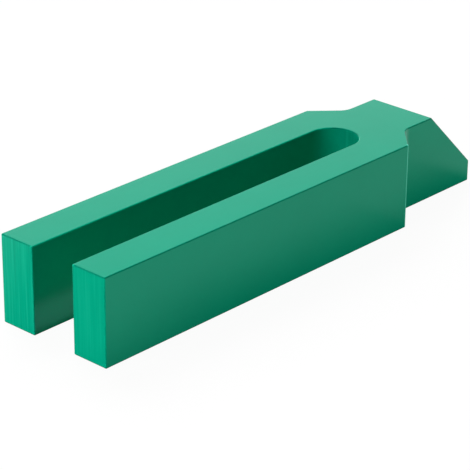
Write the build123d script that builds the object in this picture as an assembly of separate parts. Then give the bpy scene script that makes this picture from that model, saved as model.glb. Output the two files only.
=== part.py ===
"""Forked clamp strap: one bar of steel with an open slot for the clamping bolt and a narrow, sloping nose.

Millimetres. The origin is the middle of the underside of the part's box, +X points to the nose,
+Z is up and the part is the same on both sides of the XZ plane.
"""

import os
from math import radians, tan

from build123d import *

# Overall bar
overall_length = 125.0
bar_width = 30.0
bar_height = 20.0

# Slot for the bolt, open at the fork end and round at the other
slot_width = 11.6
slot_length = 91.25

# Nose, which is narrower than the bar and slopes down to a blunt tip
nose_width = 17.25
nose_length = 24.75
shoulder_angle = 44.0
neck_radius = 4.0
tip_height = 5.0
slope_angle = 45.0

# Rounding left on every edge by deburring and paint
edge_break = 0.25

# Places along the bar
fork_end = -overall_length / 2
nose_tip = overall_length / 2
neck = nose_tip - nose_length
shoulder_length = (bar_width - nose_width) / 2 / tan(radians(shoulder_angle))
shoulder = neck - shoulder_length
slope_length = (bar_height - tip_height) / tan(radians(slope_angle))
slot_radius = slot_width / 2
slot_centre = fork_end + slot_length - slot_radius


def bar_outline():
    """Plan of the bar: a full-width body, two slanting shoulders and the nose."""
    return Polyline(
        (fork_end, -bar_width / 2),
        (shoulder, -bar_width / 2),
        (neck, -nose_width / 2),
        (nose_tip, -nose_width / 2),
        (nose_tip, nose_width / 2),
        (neck, nose_width / 2),
        (shoulder, bar_width / 2),
        (fork_end, bar_width / 2),
        close=True,
    )


def bar_plan():
    """Face of the bar in plan, with both inside corners of the neck rounded."""
    plan = make_face(bar_outline())
    corners = plan.vertices().filter_by_position(Axis.X, neck, neck)
    return fillet(corners, neck_radius)


def slot_plan():
    """Face that the slot cuts away, running out past the fork end."""
    runout = fork_end - slot_width
    straight = Rectangle(slot_centre - runout, slot_width, align=(Align.MIN, Align.CENTER))
    return Pos(runout, 0) * straight + Pos(slot_centre, 0) * Circle(slot_radius)


def slope_cutter():
    """Wedge of waste above the nose's slope, as wide as the bar to each side."""
    side = Polyline(
        (nose_tip - slope_length, bar_height),
        (nose_tip, tip_height),
        (nose_tip + slope_length, tip_height),
        (nose_tip + slope_length, bar_height + slope_length),
        (nose_tip - slope_length, bar_height + slope_length),
        close=True,
    )
    return extrude(make_face(Plane.XZ * side), bar_width, both=True)


def clamp_strap():
    """The finished strap."""
    blank = extrude(bar_plan() - slot_plan(), bar_height)
    strap = blank - slope_cutter()
    return fillet(strap.edges(), edge_break)


os.makedirs("parts", exist_ok=True)
export_step(clamp_strap(), "parts/clamp_strap.step")
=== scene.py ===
from math import cos, radians, sin

import bpy
from mathutils import Matrix, Vector


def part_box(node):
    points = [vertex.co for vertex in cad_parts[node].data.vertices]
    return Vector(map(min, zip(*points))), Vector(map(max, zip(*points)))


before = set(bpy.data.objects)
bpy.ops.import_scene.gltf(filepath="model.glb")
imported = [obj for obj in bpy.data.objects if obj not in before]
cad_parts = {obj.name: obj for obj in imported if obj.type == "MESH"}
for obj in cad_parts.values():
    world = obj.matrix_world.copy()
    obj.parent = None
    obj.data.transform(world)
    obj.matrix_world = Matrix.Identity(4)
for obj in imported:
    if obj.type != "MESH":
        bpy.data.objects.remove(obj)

# The strap's box, in metres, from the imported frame: the fork ends at low X and the nose at high X
STRAP = "clamp_strap"
LOW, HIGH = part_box(STRAP)
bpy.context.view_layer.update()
CENTRE = (LOW + HIGH) / 2
WIDTH = HIGH.y - LOW.y

# Where along X the sides turn into the shoulders, and the slope of the nose in degrees
SHOULDER = 31.15e-3
NOSE_SLOPE = 45

# Directions
UP = (0.0, 0.0, 1.0)
OUT_OF_FORK = (-1.0, 0.0, 0.0)

# The photograph's camera: where it stands, in metres, and which way it looks
CAMERA_PLACE = (-0.33338, -0.29874, 0.20959)
CAMERA_AZIMUTH = radians(42.647)
CAMERA_DIP = radians(24.711)
CAMERA_ROLL = radians(0.494)
CAMERA_LENS_MM = 172.10
CAMERA_NEAREST = 0.01
SENSOR_MM = 36.0

# Colours, as linear light
WHITE = (1.0, 1.0, 1.0)
BLACK = (0.0, 0.0, 0.0)
WARM = (1.0, 1.0, 0.90)
GREEN = (0.0, 0.367, 0.221)
CHALK = (0.02, 0.46, 0.30)
# The colour of the painted highlight on the shoulders' corners
CORNER_HIGHLIGHT = (0.12, 0.85, 0.65)

# The paint's gloss
ROUGHNESS = 0.20
GLOSS_LEVEL = 0.5
GLOSS_TINT = (0.0, 0.75, 0.58)

# The paint's tone, from 0 to 1: this is the green itself, and 0 and 1 are darker and lighter by that share
PLAIN_TONE = 0.5
TONE_RANGE = 0.5

# What mottling, peel, saw marks and the painted shade and highlight lines at edges each add to the tone, and
# how far the saw marks turn to chalk
MOTTLE_TONE = 0.10
PEEL_TONE = 0.03
SAW_TONE = 0.5
SAW_CHALK = 1.5
EDGE_SHADE = -0.35
EDGE_HIGHLIGHT = 0.4

# Sizes of the paint's detail, in metres
PEEL_SIZE = 1.6e-3
PEEL_DEPTH = 4.0e-6
MOTTLE_SIZE = 14.0e-3
SAW_SPACING = 0.5e-3
SAW_DEPTH = 12.0e-6
# How far the painted shade and highlight lines reach from an edge
EDGE_REACH = 0.4e-3
# The width of the painted highlight on the shoulders' corners
CORNER_HIGHLIGHT_WIDTH = 0.3e-3

# How detailed the noise is, and from how many samples the edges are found
PAINT_DETAIL = 2.0
SAW_DETAIL = 1.0
EDGE_SAMPLES = 6

# Saw marks: how fast they change downwards as a share of sideways, and between which Y their strength grows
SAW_DRIFT = 0.02
SAW_GROWS = (-0.2 * WIDTH, 0.3 * WIDTH)
SAW_STRENGTH = (0.45, 0.9)

# The slot's rim: how far from the middle plane it ends, and where along X its line turns from painted
# highlight to painted shade
RIM_TO_OUTSIDE = (6.0e-3, 6.6e-3)
RIM_HIGHLIGHT_FADES = (26.0e-3, 28.0e-3)

# How strong the painted highlight on the far corner is, as a share of the near one
FAR_CORNER_HIGHLIGHT = 0.4

# Cosines of the angle to a direction, at which a face begins to count and counts fully:
# as a fork end, as not level, as not on the nose's slope, and as close to an edge
FORK_END = (0.9, 0.99)
NOT_LEVEL = (0.995, 0.93)
NOT_ON_SLOPE = (0.99, 0.95)
NEAR_EDGE = (0.05, 0.35)

# Lamps: name, azimuth and height in degrees, distance, width and height in metres, power in watts, colour
LAMPS = [
    ("main", 62, 45, 4.0, 2.8, 2.8, 205, WHITE),
    ("fork_middle", 180, 30, 0.7, 0.45, 0.45, 2.72, WHITE),
    ("fork_low", 150, 1, 0.7, 0.40, 0.06, 2.8, WHITE),
    ("nose_fill", 0, 15, 1.5, 0.5, 0.4, 6.5, WHITE),
    ("side_low", 285, 0.7, 2.0, 0.90, 0.05, 12.8, WARM),
]

# The floor: its half width in metres, and the share of the light that it gives back to the strap
FLOOR_HALF = 4.0
FLOOR_GIVES = (0.32, 0.32, 0.26)

# The floor as seen and as mirrored: how much it glows, and how much of the lamps' light it gives back
SEEN = (0.95, 0.05)
MIRRORED = (0.81, 0.24)

# The mirrored floor carries a painted shadow: it is dark beside the strap, and grows light between these
# distances from the middle plane
SHADE_START = 11.0e-3
SHADE_END = 40.0e-3

# Past the fork end the painted shadow widens with the distance, and past the tip it clears
SHADE_WIDENS = 0.8
SHADE_CLEARS = 3.0

# The painted shadow draws back by this much at the fork end, and less and less up to this X. Beside the nose
# it draws back by this much, over the same length
FORK_OPENS = 5.0e-3
FORK_OPENS_TO = -20.0e-3
NOSE_OPENS = 5.4e-3

# The painted light of the mirrored floor at the tip, as a share of that at the fork end
NOSE_DIMS = 0.7

# Inside the slot the mirrored floor has painted light up to the first distance from the middle plane, and is
# dark from the second on. It dims between two places along X, to a share of its light
SLOT_FADES = (3.0e-3, 6.0e-3)
SLOT_DIMS = (-40.0e-3, -10.0e-3)
SLOT_DIMMED = 0.2

# The half of the backdrop around this azimuth and height, in degrees, is dim, and the other half is bright.
# The change between them spans this cosine on either side
DIM_SIDE = (262, 60)
DIM_EDGE = 0.03
BACKDROP_BRIGHT = 1.0
BACKDROP_DIM = 0.05


def opaque(colour):
    """The colour with its opacity, as sockets take it."""
    return (*colour, 1.0)


class Nodes:
    """Short forms for building one node tree."""

    def __init__(self, tree):
        self.tree = tree

    def add(self, kind, **values):
        node = self.tree.nodes.new(kind)
        for name, value in values.items():
            setattr(node, name, value)
        return node

    def join(self, source, target):
        self.tree.links.new(source, target)

    def fill(self, socket, value):
        """Joins the socket to value where that is a socket too, and otherwise sets it."""
        if isinstance(value, bpy.types.NodeSocket):
            self.join(value, socket)
        else:
            socket.default_value = value

    def feed(self, node, *values):
        """Fills the node's first inputs, and returns its first output."""
        for socket, value in zip(node.inputs, values):
            self.fill(socket, value)
        return node.outputs[0]

    def math(self, operation, *values):
        return self.feed(self.add("ShaderNodeMath", operation=operation), *values)

    def dot(self, first, second):
        node = self.add("ShaderNodeVectorMath", operation="DOT_PRODUCT")
        self.feed(node, first, second)
        return node.outputs["Value"]

    def ramp(self, value, low, high, to_low=0.0, to_high=1.0):
        """Carries value smoothly from one range to another."""
        node = self.add("ShaderNodeMapRange", interpolation_type="SMOOTHSTEP")
        return self.feed(node, value, low, high, to_low, to_high)

    def parts(self, place):
        """The X, Y and Z of a place."""
        node = self.add("ShaderNodeSeparateXYZ")
        self.feed(node, place)
        return node.outputs

    def mix(self, share, first, second):
        """A colour between two. Each of them is a socket, or a colour with its opacity."""
        node = self.add("ShaderNodeMix", data_type="RGBA")
        sockets = {socket.identifier: socket for socket in (*node.inputs, *node.outputs)}
        self.fill(sockets["Factor_Float"], share)
        self.fill(sockets["A_Color"], first)
        self.fill(sockets["B_Color"], second)
        return sockets["Result_Color"]

    def mix_surfaces(self, share, first, second):
        return self.feed(self.add("ShaderNodeMixShader"), share, first, second)

    def noise(self, place, size, detail):
        """Noise around 0, with features of that size in metres."""
        node = self.add("ShaderNodeTexNoise")
        self.join(place, node.inputs["Vector"])
        node.inputs["Scale"].default_value = 1.0 / size
        node.inputs["Detail"].default_value = detail
        return self.math("SUBTRACT", node.outputs["Fac"], 0.5)

    def coloured(self, kind, colour):
        """A node of that kind, with its colour set."""
        node = self.add(kind)
        node.inputs["Color"].default_value = opaque(colour)
        return node

    def matte(self, colour):
        return self.coloured("ShaderNodeBsdfDiffuse", colour).outputs[0]


def direction_to(azimuth, elevation):
    """The unit vector to that azimuth and elevation, in degrees."""
    az, el = radians(azimuth), radians(elevation)
    return Vector((cos(el) * cos(az), cos(el) * sin(az), sin(el)))


def background_rays(nodes):
    """1 for rays that see the background directly, and 1 for those that see it mirrored or through glass."""
    path = nodes.add("ShaderNodeLightPath")
    mirrored = nodes.math("MAXIMUM", path.outputs["Is Glossy Ray"], path.outputs["Is Transmission Ray"])
    return path.outputs["Is Camera Ray"], mirrored


def saw_marks(nodes, place, parts, facing):
    """Fine upright streaks on the sawn fork ends, strongest on the left prong."""
    stretch = nodes.add("ShaderNodeVectorMath", operation="MULTIPLY")
    across = nodes.feed(stretch, place, (0.0, 1.0, SAW_DRIFT))
    streaks = nodes.noise(across, SAW_SPACING, SAW_DETAIL)
    strength = nodes.ramp(parts["Y"], *SAW_GROWS, *SAW_STRENGTH)
    on_ends = nodes.ramp(nodes.dot(facing, OUT_OF_FORK), *FORK_END)
    return nodes.math("MULTIPLY", streaks, nodes.math("MULTIPLY", strength, on_ends))


def painted_edge_shade_and_highlight(nodes, parts, facing):
    """What the edges of upright faces add to the tone: a painted highlight on most of the slot's rim, and
    painted shade lines elsewhere.
    """
    rounded = nodes.add("ShaderNodeBevel", samples=EDGE_SAMPLES)
    rounded.inputs["Radius"].default_value = EDGE_REACH
    near = nodes.ramp(nodes.math("ABSOLUTE", nodes.dot(rounded.outputs["Normal"], UP)), *NEAR_EDGE)
    not_level = nodes.ramp(nodes.math("ABSOLUTE", nodes.dot(facing, UP)), *NOT_LEVEL)
    not_on_slope = nodes.ramp(nodes.dot(facing, direction_to(0, NOSE_SLOPE)), *NOT_ON_SLOPE)
    upright = nodes.math("MULTIPLY", not_level, not_on_slope)
    on_rim = nodes.ramp(parts["X"], *RIM_HIGHLIGHT_FADES, EDGE_HIGHLIGHT, EDGE_SHADE)
    tone = nodes.ramp(nodes.math("ABSOLUTE", parts["Y"]), *RIM_TO_OUTSIDE, on_rim, EDGE_SHADE)
    return nodes.math("MULTIPLY", nodes.math("MULTIPLY", near, upright), tone)


def painted_corner_highlight(nodes, parts):
    """A painted highlight: a thin light line on the upright corner where each side turns into its shoulder,
    fainter on the far side.
    """
    line_start = WIDTH / 2 - 2 * CORNER_HIGHLIGHT_WIDTH
    aside = nodes.ramp(nodes.math("ABSOLUTE", parts["Y"]), line_start, line_start + CORNER_HIGHLIGHT_WIDTH)
    to_corner = nodes.math("ABSOLUTE", nodes.math("SUBTRACT", parts["X"], SHOULDER))
    along = nodes.ramp(to_corner, CORNER_HIGHLIGHT_WIDTH, CORNER_HIGHLIGHT_WIDTH / 2)
    strength = nodes.ramp(parts["Y"], -WIDTH / 4, WIDTH / 4, 1.0, FAR_CORNER_HIGHLIGHT)
    return nodes.math("MULTIPLY", nodes.math("MULTIPLY", along, aside), strength)


def paint():
    """Green enamel, semi-gloss, with the peel, mottling and saw marks of a painted tool, painted shade and
    highlight lines at its edges, and a painted highlight on the shoulders' corners.
    """
    material = bpy.data.materials.new("green_enamel")
    material.use_nodes = True
    nodes = Nodes(material.node_tree)
    shader = material.node_tree.nodes["Principled BSDF"]
    place = nodes.add("ShaderNodeTexCoord").outputs["Object"]
    parts = nodes.parts(place)
    facing = nodes.add("ShaderNodeNewGeometry").outputs["True Normal"]
    mottle = nodes.noise(place, MOTTLE_SIZE, PAINT_DETAIL)
    peel = nodes.noise(place, PEEL_SIZE, PAINT_DETAIL)
    streaks = saw_marks(nodes, place, parts, facing)

    tone = nodes.math("MULTIPLY_ADD", mottle, MOTTLE_TONE, PLAIN_TONE)
    tone = nodes.math("MULTIPLY_ADD", peel, PEEL_TONE, tone)
    tone = nodes.math("MULTIPLY_ADD", streaks, SAW_TONE, tone)
    # Painted shade lines along the edges, and a painted highlight along most of the slot's rim
    tone = nodes.math("ADD", painted_edge_shade_and_highlight(nodes, parts, facing), tone)
    darkest, lightest = (opaque(c * (1 + change) for c in GREEN) for change in (-TONE_RANGE, TONE_RANGE))
    chalky = nodes.math("MULTIPLY", nodes.math("MAXIMUM", streaks, 0.0), SAW_CHALK)
    colour = nodes.mix(chalky, nodes.mix(tone, darkest, lightest), opaque(CHALK))
    # A painted highlight on the corners where the sides turn into the shoulders
    colour = nodes.mix(painted_corner_highlight(nodes, parts), colour, opaque(CORNER_HIGHLIGHT))
    nodes.join(colour, shader.inputs["Base Color"])

    shader.inputs["Roughness"].default_value = ROUGHNESS
    shader.inputs["Specular IOR Level"].default_value = GLOSS_LEVEL
    shader.inputs["Specular Tint"].default_value = opaque(GLOSS_TINT)

    height = nodes.math("MULTIPLY", peel, PEEL_DEPTH)
    height = nodes.math("MULTIPLY_ADD", streaks, SAW_DEPTH, height)
    bump = nodes.add("ShaderNodeBump")
    bump.inputs["Distance"].default_value = 1.0
    nodes.join(height, bump.inputs["Height"])
    nodes.join(bump.outputs["Normal"], shader.inputs["Normal"])
    return material


def pale_surface(nodes, glow, albedo):
    """A white surface that glows that much, and is lit by the lamps and holds shadows besides."""
    own = nodes.coloured("ShaderNodeEmission", WHITE)
    own.inputs["Strength"].default_value = glow
    lit = nodes.matte((albedo, albedo, albedo))
    return nodes.feed(nodes.add("ShaderNodeAddShader"), lit, own.outputs[0])


def painted_mirror_shade(nodes):
    """A painted shade for the mirrored floor, from place to place: a painted shadow beside the strap, and
    painted light in the slot.
    """
    parts = nodes.parts(nodes.add("ShaderNodeNewGeometry").outputs["Position"])
    along = parts["X"]
    aside = nodes.math("ABSOLUTE", parts["Y"])
    past_fork = nodes.math("MAXIMUM", nodes.math("SUBTRACT", LOW.x, along), 0.0)
    past_tip = nodes.math("MAXIMUM", nodes.math("SUBTRACT", along, HIGH.x), 0.0)
    from_fork_end = nodes.math("GREATER_THAN", along, LOW.x)

    opens_at_nose = nodes.ramp(along, SHOULDER, SHOULDER + NOSE_OPENS, 0.0, NOSE_OPENS)
    opens_at_fork = nodes.ramp(along, LOW.x, FORK_OPENS_TO, FORK_OPENS, 0.0)
    away = nodes.math("ADD", aside, opens_at_nose)
    away = nodes.math("MULTIPLY_ADD", from_fork_end, opens_at_fork, away)
    away = nodes.math("MULTIPLY_ADD", past_fork, -SHADE_WIDENS, away)
    away = nodes.math("MULTIPLY_ADD", past_tip, SHADE_CLEARS, away)
    dims = nodes.ramp(along, LOW.x, HIGH.x, 1.0, NOSE_DIMS)
    beside = nodes.math("MULTIPLY", nodes.ramp(away, SHADE_START, SHADE_END), dims)

    slot_dims = nodes.ramp(along, *SLOT_DIMS, 1.0, SLOT_DIMMED)
    in_slot = nodes.math("MULTIPLY", nodes.ramp(aside, *SLOT_FADES, 1.0, 0.0), slot_dims)
    in_slot = nodes.math("MULTIPLY", in_slot, from_fork_end)
    return nodes.math("MAXIMUM", beside, in_slot)


def floor_material():
    """Pale and plain as seen, with a painted shadow beside the strap as mirrored, and greyer in what it
    gives back.
    """
    material = bpy.data.materials.new("pale_floor")
    material.use_nodes = True
    material.node_tree.nodes.clear()
    nodes = Nodes(material.node_tree)
    seen = pale_surface(nodes, *SEEN)
    # Mirrored rays see the floor mixed with black by the painted shadow
    mirrored = nodes.mix_surfaces(painted_mirror_shade(nodes), nodes.matte(BLACK), pale_surface(nodes, *MIRRORED))
    surface = nodes.matte(FLOOR_GIVES)
    for rays, shown in zip(background_rays(nodes), (seen, mirrored)):
        surface = nodes.mix_surfaces(rays, surface, shown)
    nodes.join(surface, nodes.add("ShaderNodeOutputMaterial").inputs["Surface"])
    return material


def floor():
    """A plain pale floor under the strap."""
    mesh = bpy.data.meshes.new("floor")
    corners = [(x * FLOOR_HALF, y * FLOOR_HALF, 0.0) for x, y in ((-1, -1), (1, -1), (1, 1), (-1, 1))]
    mesh.from_pydata(corners, [], [(0, 1, 2, 3)])
    mesh.materials.append(floor_material())
    piece = bpy.data.objects.new("floor", mesh)
    bpy.context.scene.collection.objects.link(piece)


def surround():
    """A backdrop all round, seen and mirrored, that gives no light of its own."""
    world = bpy.data.worlds.new("surround")
    bpy.context.scene.world = world
    world.use_nodes = True
    world.node_tree.nodes.clear()
    nodes = Nodes(world.node_tree)
    outward = nodes.add("ShaderNodeTexCoord").outputs["Generated"]
    to_dim_side = nodes.dot(outward, direction_to(*DIM_SIDE))
    strength = nodes.ramp(to_dim_side, -DIM_EDGE, DIM_EDGE, BACKDROP_BRIGHT, BACKDROP_DIM)
    shown = nodes.math("MAXIMUM", *background_rays(nodes))
    backdrop = nodes.coloured("ShaderNodeBackground", WHITE)
    nodes.join(nodes.math("MULTIPLY", strength, shown), backdrop.inputs["Strength"])
    nodes.join(backdrop.outputs[0], nodes.add("ShaderNodeOutputWorld").inputs["Surface"])


def lamp(name, azimuth, elevation, distance, width, height, power, colour):
    """A soft lamp that faces the strap from that azimuth and elevation."""
    direction = direction_to(azimuth, elevation)
    data = bpy.data.lights.new(name, "AREA")
    data.shape = "RECTANGLE"
    data.size = width
    data.size_y = height
    data.energy = power
    data.color = colour
    piece = bpy.data.objects.new(name, data)
    piece.location = CENTRE + direction * distance
    piece.rotation_mode = "QUATERNION"
    piece.rotation_quaternion = direction.to_track_quat("Z", "Y")
    piece.visible_camera = False
    piece.visible_glossy = False
    bpy.context.scene.collection.objects.link(piece)


def camera():
    """The camera at the photograph's place and angle."""
    data = bpy.data.cameras.new("camera")
    data.sensor_width = SENSOR_MM
    data.lens = CAMERA_LENS_MM
    data.clip_start = CAMERA_NEAREST
    piece = bpy.data.objects.new("camera", data)
    turn = Matrix.Rotation(CAMERA_AZIMUTH - radians(90), 4, "Z")
    tilt = Matrix.Rotation(radians(90) - CAMERA_DIP, 4, "X")
    roll = Matrix.Rotation(CAMERA_ROLL, 4, "Z")
    piece.matrix_world = Matrix.Translation(CAMERA_PLACE) @ turn @ tilt @ roll
    bpy.context.scene.collection.objects.link(piece)
    bpy.context.scene.camera = piece


def main():
    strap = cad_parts[STRAP]
    strap.material_slots[0].material = paint()
    floor()
    surround()
    for values in LAMPS:
        lamp(*values)
    camera()
    bpy.context.scene.view_settings.view_transform = "Standard"


main()
